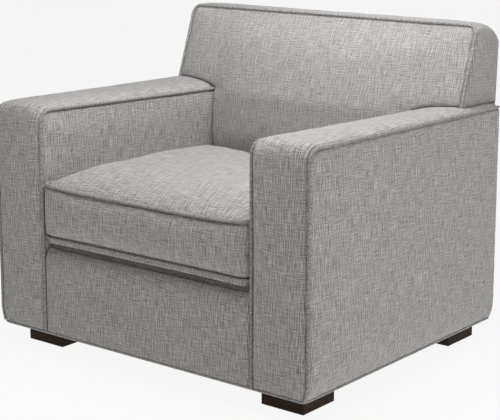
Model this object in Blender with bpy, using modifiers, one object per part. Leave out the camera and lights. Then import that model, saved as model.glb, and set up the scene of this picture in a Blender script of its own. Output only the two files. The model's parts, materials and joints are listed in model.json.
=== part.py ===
"""Upholstered armchair: wooden frame, springs, foam, and sewn covers with piped seams.

Units are metres and +Z is up. The origin is on the floor, under the middle of the chair. +X is
to the right of someone who faces the chair, and +Y points to its back. Left is at -X.
"""

import math

import bmesh
import bpy
from mathutils import Matrix, Vector

# Overall form
HALF_WIDTH = 0.470
FRONT_Y = -0.398  # front of the arms and of the front rail
ARM_REAR_Y = 0.3735
BASE_Z = 0.0465  # bottom of the cover
ARM_WIDTH = 0.156
ARM_SEAM_Z = 0.5915  # top seam of an arm at its front
ARM_SLOPE = -0.0270  # the arm tops fall towards the back
ARM_CORNER = 0.034
ARM_CROWN = 0.010

# Layers
GAP = 0.0003
OVERLAP = 0.0005  # between two solids that are joined into one
CLOTH = 0.002
PIPING = 0.0035  # radius of the arm, back and cushion welts
BASE_PIPING = 0.003
UNDER_CLOTH = CLOTH + GAP
SEAM_ALLOWANCE = 2 * PIPING + GAP
WRAP = 0.020  # foam on the front and top of an arm
OUTER_WRAP = 0.008
INNER_WRAP = 0.023
BOARD = 0.018
INNER_SIDE_REAR_Y = 0.255  # the arm's inner side ends behind the face of the back

# Feet and frame
FOOT_SIDE = 0.1143
FOOT_INSET = 0.0473
REAR_FOOT_Y = 0.356
BOLT_RADIUS = 0.004
BOLT_LOW_Z = 0.012
BOLT_HIGH_Z = 0.0756
FRAME_Z = 0.0481
BLOCK_HEIGHT = 0.030
BLOCK_DEPTH = 0.115
BLOCK_REAR_Y = 0.362
BLOCK_CUT = 0.035
SIDE_RAIL_TOP_Z = 0.140
SIDE_RAIL_REAR_Y = 0.368
RAIL_TOP_Z = 0.248
RAIL_THICKNESS = 0.025
SIDE_RAIL = 0.024
REAR_RAIL_Y = (0.2755, 0.2975)
POST_WIDTH = 0.040
POST_FRONT = ((0.280, 0.430), (0.341, 0.705))  # where the post's front edge leans back, in (y, z)
POST_REAR_Y = (0.363, 0.393)  # at its foot and at its top
TOP_RAIL_LOW = (-0.430, 0.3540, 0.7053)
TOP_RAIL_HIGH = (0.430, 0.3890, 0.7450)
DECK_PAD_Z = 0.258
DECK_PAD_FRONT_Y = -0.344
DECK_CLOTH_FRONT_Y = -0.3197
DECK_REAR_Y = 0.2745
DECK_Z = 0.2775
RAIL_EDGE = 0.050  # the rounding of the front rail's padded top edge
SPRING_Y = (-0.366, 0.290)
SPRING_HALF_WIDTH = 0.024
SPRING_PITCH = 0.036
SPRING_SPACING = 0.140
SPRING_RISE = 0.003
WIRE = 0.0019
SPRING_COUNT = 4

# Back
BACK_HALF_WIDTH = 0.443
BACK_TOP_Z = 0.7835
BACK_CORNER = 0.025
BACK_CROWN = 0.012
BACK_PAD = 0.051
WING_Z = 0.5865  # underside of the wings at their front edge
WING_Y = 0.237
BEND_Z = 0.566  # the face of the back leans more above this height
REAR_BEND_Z = 0.7387  # the outside back starts to round over to the top here
FACE_Y = 0.230  # face of the back at the bend
FACE_LEAN = 0.34
LOW_FACE_LEAN = 0.075
HOLLOW_Y = 0.224  # face of the back behind the cushion
OUTSIDE_Y = 0.3765
OUTSIDE_LEAN = 0.0466
WEB_Z = (0.45, 0.70)
WEB_STANDOFF = 0.0034
WEB_THICKNESS = 0.0012

# Seat cushion
CUSHION_HALF_WIDTH = 0.3125
CUSHION_FRONT_Y = -0.406
CUSHION_REAR_Y = 0.194
CUSHION_CORNER = 0.030
CUSHION_BASE_Z = 0.278
CUSHION_LOWER_SEAM_Z = 0.2885
CUSHION_UPPER_SEAM_Z = 0.4085
CUSHION_CROWN = 0.046
CORE_CROWN = 0.041
CUSHION_SHOULDER = 0.160  # the crown rises over this distance from each edge
ZIP_HALF_LENGTH = 0.270
ZIP_HALF_WIDTH = 0.012
ZIP_TAPE = 0.0008
ZIP_Z = 0.349
SLIDER_SIZE = (0.012, 0.0038, 0.009)
PULL_WIDTH = 0.007
PULL_THICKNESS = 0.0014
ZIP_START_X = -0.255
PULL_LENGTH = 0.016

BASE_TOP_Z = BASE_Z + 2 * BASE_PIPING + GAP
ARM_INNER_X = HALF_WIDTH - ARM_WIDTH
SEAT_HALF_WIDTH = ARM_INNER_X - GAP * 2
INNER_FRAME_X = ARM_INNER_X + UNDER_CLOTH + INNER_WRAP + GAP
OUTER_FRAME_X = HALF_WIDTH - UNDER_CLOTH - OUTER_WRAP - GAP
BOARD_FRONT_Y = FRONT_Y + UNDER_CLOTH + WRAP + GAP
INNER_SIDE_Z = DECK_Z - 0.022  # the arm's inner side ends below the deck
FOOT_X = HALF_WIDTH - FOOT_INSET - FOOT_SIDE / 2
FOOT_CENTRES_Y = {
    "front": FRONT_Y + FOOT_INSET + FOOT_SIDE / 2,
    "rear": REAR_FOOT_Y - FOOT_SIDE / 2,
}

MODEL = "upholstered_armchair"
CUTTERS = "cutters"


# Scene and materials


def clear_scene():
    for obj in list(bpy.data.objects):
        bpy.data.objects.remove(obj, do_unlink=True)
    for name in (MODEL, CUTTERS):
        collection = bpy.data.collections.new(name)
        bpy.context.scene.collection.children.link(collection)
    bpy.data.collections[CUTTERS].hide_render = True


def material(name, color, roughness, metallic=0.0):
    made = bpy.data.materials.get(name)
    if made is None:
        made = bpy.data.materials.new(name)
        made.use_nodes = True
        shader = made.node_tree.nodes["Principled BSDF"]
        shader.inputs["Base Color"].default_value = (*color, 1.0)
        shader.inputs["Roughness"].default_value = roughness
        shader.inputs["Metallic"].default_value = metallic
        made.diffuse_color = (*color, 1.0)
    return made


def cover_cloth():
    return material("grey_linen_tweed", (0.36, 0.35, 0.34), 0.92)


def piping_cloth():
    return material("grey_linen_piping", (0.33, 0.32, 0.31), 0.92)


def deck_cloth_look():
    return material("deck_cloth", (0.20, 0.20, 0.20), 0.95)


def lining_cloth():
    return material("black_cambric", (0.03, 0.03, 0.03), 0.95)


def foam():
    return material("foam", (0.86, 0.82, 0.62), 0.9)


def frame_wood():
    return material("frame_hardwood", (0.55, 0.38, 0.22), 0.7)


def foot_wood():
    return material("espresso_wood", (0.035, 0.018, 0.012), 0.45)


def spring_steel():
    return material("spring_steel", (0.45, 0.45, 0.47), 0.35, 1.0)


def elastic_web():
    return material("elastic_web", (0.10, 0.10, 0.12), 0.9)


def zip_plastic():
    return material("zip_coil", (0.25, 0.25, 0.25), 0.5)


# Shape tools


def link(obj, look=None, collection=MODEL):
    bpy.data.collections[collection].objects.link(obj)
    if look is not None:
        obj.data.materials.clear()
        obj.data.materials.append(look)
    return obj


def object_from(bm, name, look, collection=MODEL):
    """An object whose origin is the middle of its box."""
    low = Vector([min(vert.co[axis] for vert in bm.verts) for axis in range(3)])
    high = Vector([max(vert.co[axis] for vert in bm.verts) for axis in range(3)])
    centre = (low + high) / 2
    bmesh.ops.translate(bm, vec=-centre, verts=bm.verts)
    mesh = bpy.data.meshes.new(name)
    bm.to_mesh(mesh)
    bm.free()
    obj = bpy.data.objects.new(name, mesh)
    obj.location = centre
    return link(obj, look, collection)


def box(name, low, high, look=None, collection=MODEL):
    low, high = Vector(low), Vector(high)
    bm = bmesh.new()
    bmesh.ops.create_cube(bm, size=1.0)
    bmesh.ops.scale(bm, vec=high - low, verts=bm.verts)
    bmesh.ops.translate(bm, vec=(low + high) / 2, verts=bm.verts)
    return object_from(bm, name, look, collection)


def cylinder(name, centre, radius, length, look=None, collection=MODEL):
    """An upright cylinder."""
    bm = bmesh.new()
    bmesh.ops.create_cone(
        bm, cap_ends=True, segments=20, radius1=radius, radius2=radius, depth=length
    )
    bmesh.ops.translate(bm, vec=centre, verts=bm.verts)
    obj = object_from(bm, name, look, collection)
    smooth(obj)
    return obj


def smooth(obj):
    obj.data.shade_smooth()
    obj.data.set_sharp_from_angle(angle=math.radians(40))


def helper(obj):
    """Marks a cutter."""
    obj.hide_render = True
    obj.display_type = "WIRE"
    return obj


def evaluated_mesh(obj):
    """A plain mesh of the object in world space, with its modifiers applied."""
    bpy.context.view_layer.update()
    graph = bpy.context.evaluated_depsgraph_get()
    mesh = bpy.data.meshes.new_from_object(obj.evaluated_get(graph), depsgraph=graph)
    bm = bmesh.new()
    bm.from_mesh(mesh)
    bm.transform(obj.matrix_world)
    bmesh.ops.remove_doubles(bm, verts=bm.verts, dist=1e-6)
    bpy.data.meshes.remove(mesh)
    return bm


def applied(obj, look):
    """The same object as a plain mesh."""
    name, collection = obj.name, obj.users_collection[0].name
    bm = evaluated_mesh(obj)
    bpy.data.objects.remove(obj, do_unlink=True)
    return object_from(bm, name, look, collection)


def mirrored(obj, name):
    """The opposite hand of a piece: the same mesh, mirrored in X."""
    twin = bpy.data.objects.new(name, obj.data)
    twin.location = (-obj.location.x, obj.location.y, obj.location.z)
    twin.scale.x = -1
    return link(twin)


def boolean(obj, other, operation):
    modifier = obj.modifiers.new(operation.lower(), "BOOLEAN")
    modifier.operation = operation
    modifier.object = other
    modifier.solver = "EXACT"


def joined(obj, others, look):
    """One body made of overlapping solids."""
    for other in others:
        boolean(obj, other, "UNION")
    result = applied(obj, look)
    for other in others:
        bpy.data.objects.remove(other, do_unlink=True)
    return result


def rounded(corners, radius, steps=4, closed=False):
    """The outline through these corners, with an arc at each one."""
    points = []
    for index, corner in enumerate(corners):
        here = Vector(corner)
        if not closed and index in (0, len(corners) - 1):
            points.append(here)
            continue
        before = (Vector(corners[index - 1]) - here).normalized()
        after = (Vector(corners[(index + 1) % len(corners)]) - here).normalized()
        half = before.angle(after) / 2
        centre = here + (before + after).normalized() * radius / math.sin(half)
        start = here + before * radius / math.tan(half) - centre
        turn = 1 if before.cross(after) < 0 else -1
        for step in range(steps + 1):
            angle = turn * (math.pi - 2 * half) * step / steps
            points.append(centre + Matrix.Rotation(angle, 2) @ start)
    return points


PRISM_AXES = {
    "X": Matrix(((0, 0, 1), (1, 0, 0), (0, 1, 0))),  # outline in (y, z)
    "Y": Matrix(((1, 0, 0), (0, 0, -1), (0, 1, 0))),  # outline in (x, z)
    "Z": Matrix.Identity(3),  # outline in (x, y)
}


def prism(name, outline, axis, low, high, look=None, collection=MODEL):
    """A flat outline given a thickness along one axis."""
    curve = bpy.data.curves.new(name, "CURVE")
    curve.dimensions = "2D"
    curve.fill_mode = "BOTH"
    curve.extrude = (high - low) / 2
    spline = curve.splines.new("POLY")
    spline.points.add(len(outline) - 1)
    for point, place in zip(spline.points, outline):
        point.co = (place[0], place[1], 0, 1)
    spline.use_cyclic_u = True
    obj = bpy.data.objects.new(name, curve)
    obj.rotation_euler = PRISM_AXES[axis].to_euler()
    obj.location["XYZ".index(axis)] = (low + high) / 2
    link(obj, None, collection)
    return applied(obj, look)


def layer(name, rows, columns, place, thickness, look):
    """A sheet of cloth or foam: a grid set by place(i, j), thickened away from its face."""
    bm = bmesh.new()
    bmesh.ops.create_grid(bm, x_segments=rows, y_segments=columns, size=1.0)
    for vert in bm.verts:
        i = round((vert.co.x + 1) / 2 * rows)
        j = round((vert.co.y + 1) / 2 * columns)
        vert.co = place(i, j)
    bmesh.ops.remove_doubles(bm, verts=bm.verts, dist=1e-6)
    obj = object_from(bm, name, look)
    thicken = obj.modifiers.new("thickness", "SOLIDIFY")
    thicken.thickness = thickness
    thicken.offset = -1
    thicken.use_even_offset = True
    smooth(obj)
    return obj


def cord(name, points, radius, look, closed=False, resolution=1):
    """A round cord along these points."""
    curve = bpy.data.curves.new(name, "CURVE")
    curve.dimensions = "3D"
    curve.bevel_depth = radius
    curve.bevel_resolution = resolution
    curve.use_fill_caps = not closed
    spline = curve.splines.new("POLY")
    spline.points.add(len(points) - 1)
    for point, place in zip(spline.points, points):
        point.co = (*place, 1)
    spline.use_cyclic_u = closed
    obj = bpy.data.objects.new(name, curve)
    link(obj)
    return applied(obj, look)


def steps_between(low, high, count):
    return [low + (high - low) * step / count for step in range(count + 1)]


def ramp(value, low, high):
    """0 at low, 1 at high, smooth between."""
    share = min(1.0, max(0.0, (value - low) / (high - low)))
    return share * share * (3 - 2 * share)


# Feet and frame


def hole(name, centre, radius, length):
    return helper(cylinder(name, centre, radius, length, None, CUTTERS))


def make_feet():
    for side, x in (("left", -FOOT_X), ("right", FOOT_X)):
        for end, y in FOOT_CENTRES_Y.items():
            make_foot(f"{end}_{side}", x, y)


def make_foot(place, x, y):
    half = FOOT_SIDE / 2
    foot = box(f"foot_{place}", (x - half, y - half, 0), (x + half, y + half, BASE_Z), foot_wood())
    ease = foot.modifiers.new("eased_edges", "BEVEL")
    ease.width = 0.0015
    ease.segments = 2
    middle = (x, y, (BOLT_LOW_Z + BOLT_HIGH_Z) / 2)
    length = BOLT_HIGH_Z - BOLT_LOW_Z
    cutter = hole(f"bolt_hole_{place}", middle, BOLT_RADIUS + GAP, length + 2 * GAP)
    boolean(foot, cutter, "DIFFERENCE")
    cylinder(f"foot_bolt_{place}", middle, BOLT_RADIUS, length, spring_steel())
    make_corner_block(place, x, y, cutter)


def make_corner_block(place, x, y, cutter):
    """A glued block with one corner cut off, which holds the foot's bolt."""
    side = math.copysign(1, x)
    end = math.copysign(1, y)
    inner, outer = INNER_FRAME_X, OUTER_FRAME_X - SIDE_RAIL - GAP
    deep = BOARD_FRONT_Y + BOARD + GAP if end < 0 else BLOCK_REAR_Y
    shallow = deep - end * BLOCK_DEPTH
    outline = [
        (side * inner, deep),
        (side * outer, deep),
        (side * outer, shallow + end * BLOCK_CUT),
        (side * (outer - BLOCK_CUT), shallow),
        (side * inner, shallow),
    ]
    top = FRAME_Z + BLOCK_HEIGHT
    block = prism(f"corner_block_{place}", outline, "Z", FRAME_Z, top, frame_wood())
    boolean(block, cutter, "DIFFERENCE")


def arm_top_z(y):
    """Height of an arm's top seam."""
    return ARM_SEAM_Z + ARM_SLOPE * (y - FRONT_Y)


def make_frame():
    wood = frame_wood()
    half = INNER_FRAME_X - GAP
    rear = BOARD_FRONT_Y + RAIL_THICKNESS
    box("front_seat_rail", (-half, BOARD_FRONT_Y, FRAME_Z), (half, rear, RAIL_TOP_Z), wood)
    post_inner = SEAT_HALF_WIDTH - POST_WIDTH
    half = post_inner - GAP
    front, rear = REAR_RAIL_Y
    box("rear_seat_rail", (-half, front, SIDE_RAIL_TOP_Z), (half, rear, RAIL_TOP_Z), wood)
    box("back_top_rail", TOP_RAIL_LOW, TOP_RAIL_HIGH, wood)
    bend, top = POST_FRONT
    post_outline = [
        (bend[0], FRAME_Z),
        (POST_REAR_Y[0], FRAME_Z),
        (POST_REAR_Y[1], top[1]),
        top,
        bend,
    ]
    pairs = [
        prism("back_post_right", post_outline, "X", post_inner, SEAT_HALF_WIDTH, wood),
        box(
            "side_rail_right",
            (OUTER_FRAME_X - SIDE_RAIL, BOARD_FRONT_Y + BOARD + GAP, FRAME_Z),
            (OUTER_FRAME_X, SIDE_RAIL_REAR_Y, SIDE_RAIL_TOP_Z),
            wood,
        ),
        make_arm_front_board(wood),
        make_arm_top_board(wood),
    ]
    for piece in pairs:
        mirrored(piece, piece.name.replace("right", "left"))


def make_arm_front_board(wood):
    top = arm_top_z(BOARD_FRONT_Y) - UNDER_CLOTH - WRAP - 0.012
    low = (INNER_FRAME_X, BOARD_FRONT_Y, FRAME_Z)
    high = (OUTER_FRAME_X, BOARD_FRONT_Y + BOARD, top)
    return box("arm_front_board_right", low, high, wood)


def make_arm_top_board(wood):
    """The board under the arm's top, which falls towards the back with it."""
    front, rear = BOARD_FRONT_Y + BOARD + GAP, 0.365
    under = UNDER_CLOTH + WRAP + 2 * GAP
    outline = [
        (front, arm_top_z(front) - under - BOARD),
        (rear, arm_top_z(rear) - under - BOARD),
        (rear, arm_top_z(rear) - under),
        (front, arm_top_z(front) - under),
    ]
    return prism("arm_top_board_right", outline, "X", INNER_FRAME_X, OUTER_FRAME_X, wood)


# Springs, deck and front rail


def make_seat_springs():
    """Sinuous springs: a wire that zigzags from the front rail to the rear rail."""
    front, rear = SPRING_Y
    half, pitch = SPRING_HALF_WIDTH, SPRING_PITCH
    runs = int((rear - front) / pitch)
    for number in range(SPRING_COUNT):
        middle = (number - (SPRING_COUNT - 1) / 2) * SPRING_SPACING
        points = []
        for run in range(runs + 1):
            side = 1 if run % 2 else -1
            y = front + run * pitch
            rise = SPRING_RISE * math.sin(math.pi * run / runs)
            z = RAIL_TOP_Z + WIRE + GAP + rise
            points.append((middle - side * half, y, z))
            points.append((middle + side * half, y, z))
            if run < runs:
                points.append((middle + side * (half + pitch / 3), y + pitch / 2, z))
        cord(f"seat_spring_{number + 1}", points, WIRE, spring_steel(), resolution=0)


def make_deck():
    half = SEAT_HALF_WIDTH
    pad_top = DECK_Z - UNDER_CLOTH
    low = (-half, DECK_PAD_FRONT_Y, DECK_PAD_Z)
    box("deck_pad", low, (half, DECK_REAR_Y, pad_top), foam())
    low = (-half, DECK_CLOTH_FRONT_Y, DECK_Z - CLOTH)
    box("deck_cloth", low, (half, DECK_REAR_Y, DECK_Z), deck_cloth_look())


def rail_path(inset):
    """Up the front of the rail and back over its edge, in (y, z)."""
    front, top = FRONT_Y + inset, DECK_Z - inset
    corners = [(front, BASE_TOP_Z), (front, top), (DECK_CLOTH_FRONT_Y - GAP, top)]
    return rounded(corners, RAIL_EDGE - inset, steps=5)


def make_front_rail_cover():
    half = SEAT_HALF_WIDTH
    path = rail_path(0)
    sides = (half, -half)
    layer(
        "front_rail_panel",
        len(path) - 1,
        1,
        lambda i, j: (sides[j], path[i][0], path[i][1]),
        CLOTH,
        cover_cloth(),
    )
    outline = rail_path(UNDER_CLOTH)
    outline[0].y = BASE_TOP_Z + GAP
    pad_rear, board = DECK_PAD_FRONT_Y - GAP, FRONT_Y + UNDER_CLOTH + WRAP
    outline[-1].x = pad_rear
    outline += [(pad_rear, DECK_PAD_Z), (board, DECK_PAD_Z), (board, BASE_TOP_Z + GAP)]
    prism("front_rail_pad", outline, "X", -half, half, foam())


# Arms


def arm_path(inset, rear=ARM_REAR_Y, base=BASE_TOP_Z):
    """Up an arm's front, round its top corner and back along its top, in (y, z)."""
    front = FRONT_Y + inset
    corners = [
        (front, base),
        (front, arm_top_z(front) - inset),
        (rear, arm_top_z(rear) - inset),
    ]
    return rounded(corners, ARM_CORNER - inset, steps=5)


def crowned_band(name, inset, half_width, thickness, look, rear):
    """The front and top of the right arm, fuller along its middle."""
    base = BASE_TOP_Z + (GAP if inset else 0)
    path = arm_path(inset, rear, base)
    middle = HALF_WIDTH - ARM_WIDTH / 2
    columns = 6

    def place(i, j):
        share = 1 - 2 * j / columns
        ahead = path[min(i + 1, len(path) - 1)] - path[max(i - 1, 0)]
        outward = Vector((-ahead.y, ahead.x)).normalized()
        crown = ARM_CROWN * (1 - share * share)
        on_top = ramp(outward.y, 0.0, 1.0)
        point = path[i] + outward * crown * (0.3 + 0.7 * on_top)
        return (middle + share * half_width, point.x, point.y)

    return layer(name, len(path) - 1, columns, place, thickness, look)


def arm_side_outline(inset, rear, base):
    return arm_path(inset, rear, base) + [(rear, base)]


def make_arm_cover():
    """The cloth of the right arm."""
    cloth = cover_cloth()
    half = ARM_WIDTH / 2 - SEAM_ALLOWANCE
    band = crowned_band("arm_band_right", 0, half, CLOTH, cloth, ARM_REAR_Y)
    outline = arm_side_outline(SEAM_ALLOWANCE, ARM_REAR_Y - CLOTH, BASE_TOP_Z)
    outside = prism("outside_arm_panel_right", outline, "X", HALF_WIDTH - CLOTH, HALF_WIDTH, cloth)
    top = arm_top_z(ARM_REAR_Y) - SEAM_ALLOWANCE
    turn_in = box(
        "turn_in",
        (BACK_HALF_WIDTH - CLOTH, ARM_REAR_Y - CLOTH - OVERLAP, BASE_TOP_Z),
        (HALF_WIDTH, ARM_REAR_Y - OVERLAP, top),
    )
    outline = arm_side_outline(SEAM_ALLOWANCE, INNER_SIDE_REAR_Y, INNER_SIDE_Z)
    inside = prism(
        "inside_arm_panel_right", outline, "X", ARM_INNER_X, ARM_INNER_X + CLOTH, cloth
    )
    return [
        applied(band, cloth),
        joined(outside, [turn_in], cloth),
        inside,
    ]


def make_arm_pad():
    """The foam over the right arm's front, top and both sides, in one piece."""
    half = ARM_WIDTH / 2 - SEAM_ALLOWANCE - CLOTH
    rear = ARM_REAR_Y - 0.004
    cap = crowned_band("arm_pad_right", UNDER_CLOTH, half, WRAP, foam(), rear)
    inset = SEAM_ALLOWANCE + CLOTH
    outer = prism(
        "outer_side",
        arm_side_outline(inset, rear, BASE_TOP_Z + GAP),
        "X",
        HALF_WIDTH - UNDER_CLOTH - OUTER_WRAP,
        HALF_WIDTH - UNDER_CLOTH,
    )
    inner = prism(
        "inner_side",
        arm_side_outline(inset, INNER_SIDE_REAR_Y, INNER_SIDE_Z),
        "X",
        ARM_INNER_X + UNDER_CLOTH,
        ARM_INNER_X + UNDER_CLOTH + INNER_WRAP,
    )
    return joined(cap, [outer, inner], foam())


def make_arm_welts():
    """Piping up the front and back along the top, at each side of the band."""
    path = arm_path(PIPING, ARM_REAR_Y, BASE_TOP_Z + GAP)
    made = []
    for name, x in (("outer", HALF_WIDTH - PIPING), ("inner", ARM_INNER_X + PIPING)):
        points = [(x, point.x, point.y) for point in path]
        made.append(cord(f"arm_{name}_welt_right", points, PIPING, piping_cloth()))
    return made


def make_arms():
    for piece in [*make_arm_cover(), make_arm_pad(), *make_arm_welts()]:
        mirrored(piece, piece.name.replace("right", "left"))


# Back


def back_edge_y(z):
    """Y of the inside back's face along the outer edges of the wings."""
    if z > BEND_Z:
        return FACE_Y + FACE_LEAN * (z - BEND_Z)
    lean = FACE_Y + LOW_FACE_LEAN * (z - BEND_Z)
    hollow = 1 - ramp(z, 0.375, 0.420)
    return lean + hollow * (HOLLOW_Y - lean)


def back_face_y(x, z):
    """Y of the inside back's face, which is fuller in its middle."""
    fullness = ramp(z, 0.39, 0.47) * (1 - ramp(z, 0.71, BACK_TOP_Z))
    across = 1 - (x / BACK_HALF_WIDTH) ** 2
    return back_edge_y(z) - BACK_CROWN * fullness * across


def outside_back_y(z):
    return OUTSIDE_Y + OUTSIDE_LEAN * (z - BASE_TOP_Z)


def wing_cutters():
    """Blocks that take away the space of the arms, so that the back keeps its T shape."""
    made = []
    for side in (-1, 1):
        inner, outer = side * SEAT_HALF_WIDTH, side * 0.60
        low_x, high_x = min(inner, outer), max(inner, outer)
        slope = [
            (0.10, 0.10),
            (0.45, 0.10),
            (0.45, WING_Z + ARM_SLOPE * (0.45 - WING_Y)),
            (0.10, WING_Z + ARM_SLOPE * (0.10 - WING_Y)),
        ]
        name = f"arm_space_{'right' if side > 0 else 'left'}"
        made.append(helper(prism(name, slope, "X", low_x, high_x, None, CUTTERS)))
    return made


def back_outline(name, half_width, top):
    """A block with the rounded top corners of the back, which trims a layer of it."""
    corners = [(-half_width, 0.20), (-half_width, top), (half_width, top), (half_width, 0.20)]
    outline = rounded(corners, BACK_CORNER - SEAM_ALLOWANCE)
    return helper(prism(name, outline, "Y", 0.10, 0.45, None, CUTTERS))


def back_layer(name, inset, trim, thickness, look, cutters):
    """One layer of the T-shaped back, behind its face by the inset."""
    half_width = BACK_HALF_WIDTH - SEAM_ALLOWANCE
    top = BACK_TOP_Z - SEAM_ALLOWANCE
    rows = [DECK_Z + 0.0008, 0.34, 0.375, 0.40, 0.43, 0.47, 0.52, BEND_Z, 0.61, 0.66, 0.71, 0.75, top]
    columns = 14
    xs = steps_between(-half_width, half_width, columns)

    def place(i, j):
        return (xs[i], back_face_y(xs[i], rows[j]) + inset, rows[j])

    obj = layer(name, columns, len(rows) - 1, place, thickness, look)
    boolean(obj, back_outline(f"{name}_outline", half_width - GAP, top - trim), "INTERSECT")
    for cutter in cutters:
        boolean(obj, cutter, "DIFFERENCE")
    return obj


def top_drop(y):
    """How far the top of the back falls from its front seam to its rounded rear edge."""
    rear = outside_back_y(REAR_BEND_Z)
    front = back_edge_y(BACK_TOP_Z)
    share = min(1.0, max(0.0, (y - front) / (rear - front)))
    return (BACK_TOP_Z - REAR_BEND_Z) * (0.18 * share + 0.82 * (1 - math.sqrt(1 - share**4)))


def make_back_band():
    """The strip of cloth round the back: up the sides, over the top, and down."""
    side, top = BACK_HALF_WIDTH, BACK_TOP_Z
    half_path = rounded([(-side, 0.120), (-side, top), (0, top)], BACK_CORNER, steps=5)
    sides = [0.30, 0.45, WING_Z - 0.008, WING_Z + 0.001, 0.66, 0.71]
    path = [half_path[0]]
    path += [Vector((-side, z)) for z in sides]
    path += half_path[1:-1]
    path += [Vector((x, top)) for x in (-0.30, -0.15)]
    path += [Vector((0, top))]
    path += [Vector((-point.x, point.y)) for point in reversed(path[:-1])]
    columns = 7

    def place(i, j):
        x, z = path[i]
        share = j / columns
        front = ARM_REAR_Y + 4 * GAP if z < WING_Z else back_edge_y(z) + SEAM_ALLOWANCE
        rear = outside_back_y(min(z, REAR_BEND_Z)) - UNDER_CLOTH
        y = front + (rear - front) * share
        on_top = ramp(z, top - BACK_CORNER, top)
        return (x, y, z - on_top * top_drop(y))

    return layer("back_band", len(path) - 1, columns, place, CLOTH, cover_cloth())


def make_back_welt():
    side = BACK_HALF_WIDTH - PIPING
    top = BACK_TOP_Z - PIPING
    corners = [(-side, WING_Z + 0.002), (-side, top), (side, top), (side, WING_Z + 0.002)]
    path = rounded(corners, BACK_CORNER - PIPING, steps=5)
    points = [(x, back_edge_y(z) + PIPING, z) for x, z in path]
    return cord("back_welt", points, PIPING, piping_cloth())


def make_outside_back():
    """The flat cloth panel at the back, which leans with the back posts."""
    low, high = BASE_TOP_Z, REAR_BEND_Z - 0.001
    side = BACK_HALF_WIDTH
    places = ((low, outside_back_y(low)), (high, outside_back_y(high)))

    def place(i, j):
        z, y = places[j]
        return (side - 2 * side * i, y, z)

    layer("outside_back_panel", 1, 1, place, CLOTH, cover_cloth())


def make_back_web():
    """The elastic web on the front edges of the posts, behind the foam."""
    bend, top = (Vector(corner) for corner in POST_FRONT)

    def place(i, j):
        share = (WEB_Z[j] - bend.y) / (top.y - bend.y)
        return (SEAT_HALF_WIDTH * (2 * i - 1), bend.lerp(top, share).x - WEB_STANDOFF, WEB_Z[j])

    layer("back_web", 1, 1, place, WEB_THICKNESS, elastic_web())


def make_back():
    cutters = wing_cutters()
    back_layer("inside_back_panel", 0, GAP, CLOTH, cover_cloth(), cutters)
    back_layer("back_pad", UNDER_CLOTH + 2 * GAP, 0.003, BACK_PAD, foam(), cutters)
    make_back_band()
    make_back_welt()
    make_outside_back()
    make_back_web()


# Base


def ring(half_width, front, rear, radius, steps=4):
    """A rounded rectangle in (x, y), anticlockwise from above."""
    corners = [(half_width, front), (half_width, rear), (-half_width, rear), (-half_width, front)]
    return rounded(corners, radius, steps, closed=True)


def make_base():
    side = HALF_WIDTH - BASE_PIPING
    front = FRONT_Y + BASE_PIPING
    rear = outside_back_y(BASE_TOP_Z) - BASE_PIPING
    points = [(x, y, BASE_Z + BASE_PIPING) for x, y in ring(side, front, rear, 0.006, 2)]
    cord("base_welt", points, BASE_PIPING, piping_cloth(), closed=True)
    inset = BASE_PIPING + GAP
    low = (-side + inset, front + inset, BASE_Z + GAP)
    high = (side - inset, rear - inset, BASE_Z + GAP + 0.001)
    cover = box("dust_cover", low, high, lining_cloth())
    for side_name, x in (("left", -FOOT_X), ("right", FOOT_X)):
        for end, y in FOOT_CENTRES_Y.items():
            centre = (x, y, BASE_Z)
            cutter = hole(f"dust_hole_{end}_{side_name}", centre, BOLT_RADIUS + 2 * GAP, 0.01)
            boolean(cover, cutter, "DIFFERENCE")


# Seat cushion


def cushion_crown(across, along):
    """Share of the full crown at a point, with both values from -1 to 1."""
    half_y = (CUSHION_REAR_Y - CUSHION_FRONT_Y) / 2
    from_side = CUSHION_HALF_WIDTH * (1 - abs(across))
    from_end = half_y * (1 - abs(along))
    rise = [1 - (1 - min(1, away / CUSHION_SHOULDER)) ** 4 for away in (from_side, from_end)]
    return rise[0] * rise[1]


def cushion_ring(inset):
    return ring(
        CUSHION_HALF_WIDTH - inset,
        CUSHION_FRONT_Y + inset,
        CUSHION_REAR_Y - inset,
        CUSHION_CORNER - inset,
    )


def make_cushion_boxing():
    path = cushion_ring(0)
    low = CUSHION_LOWER_SEAM_Z + PIPING + GAP
    high = CUSHION_UPPER_SEAM_Z - PIPING - GAP

    def place(i, j):
        x, y = path[i % len(path)]
        return (x, y, low if j == 0 else high)

    return layer("cushion_boxing", len(path), 1, place, CLOTH, cover_cloth())


def cushion_grid_point(across, along, inset):
    """A point of the cushion's plan, pulled in at the corners to follow their arcs."""
    half_x = CUSHION_HALF_WIDTH - inset
    half_y = (CUSHION_REAR_Y - CUSHION_FRONT_Y) / 2 - inset
    middle_y = (CUSHION_REAR_Y + CUSHION_FRONT_Y) / 2
    pull = 0.3 * (CUSHION_CORNER - inset) * (abs(across) * abs(along)) ** 8
    x = across * half_x - math.copysign(pull, across)
    y = middle_y + along * half_y - math.copysign(pull, along)
    return x, y


def make_cushion_panels():
    inset = SEAM_ALLOWANCE
    count = 14
    shares = steps_between(-1, 1, count)

    def on_top(i, j):
        x, y = cushion_grid_point(shares[i], shares[j], inset)
        return (x, y, CUSHION_UPPER_SEAM_Z + CUSHION_CROWN * cushion_crown(shares[i], shares[j]))

    top = layer("cushion_top_panel", count, count, on_top, CLOTH, cover_cloth())
    sides = (-1, 1)

    def below(i, j):
        x, y = cushion_grid_point(sides[i], -sides[j], inset)
        return (x, y, CUSHION_BASE_Z)

    bottom = layer("cushion_bottom_panel", 1, 1, below, CLOTH, cover_cloth())
    return [top, bottom]


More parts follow.
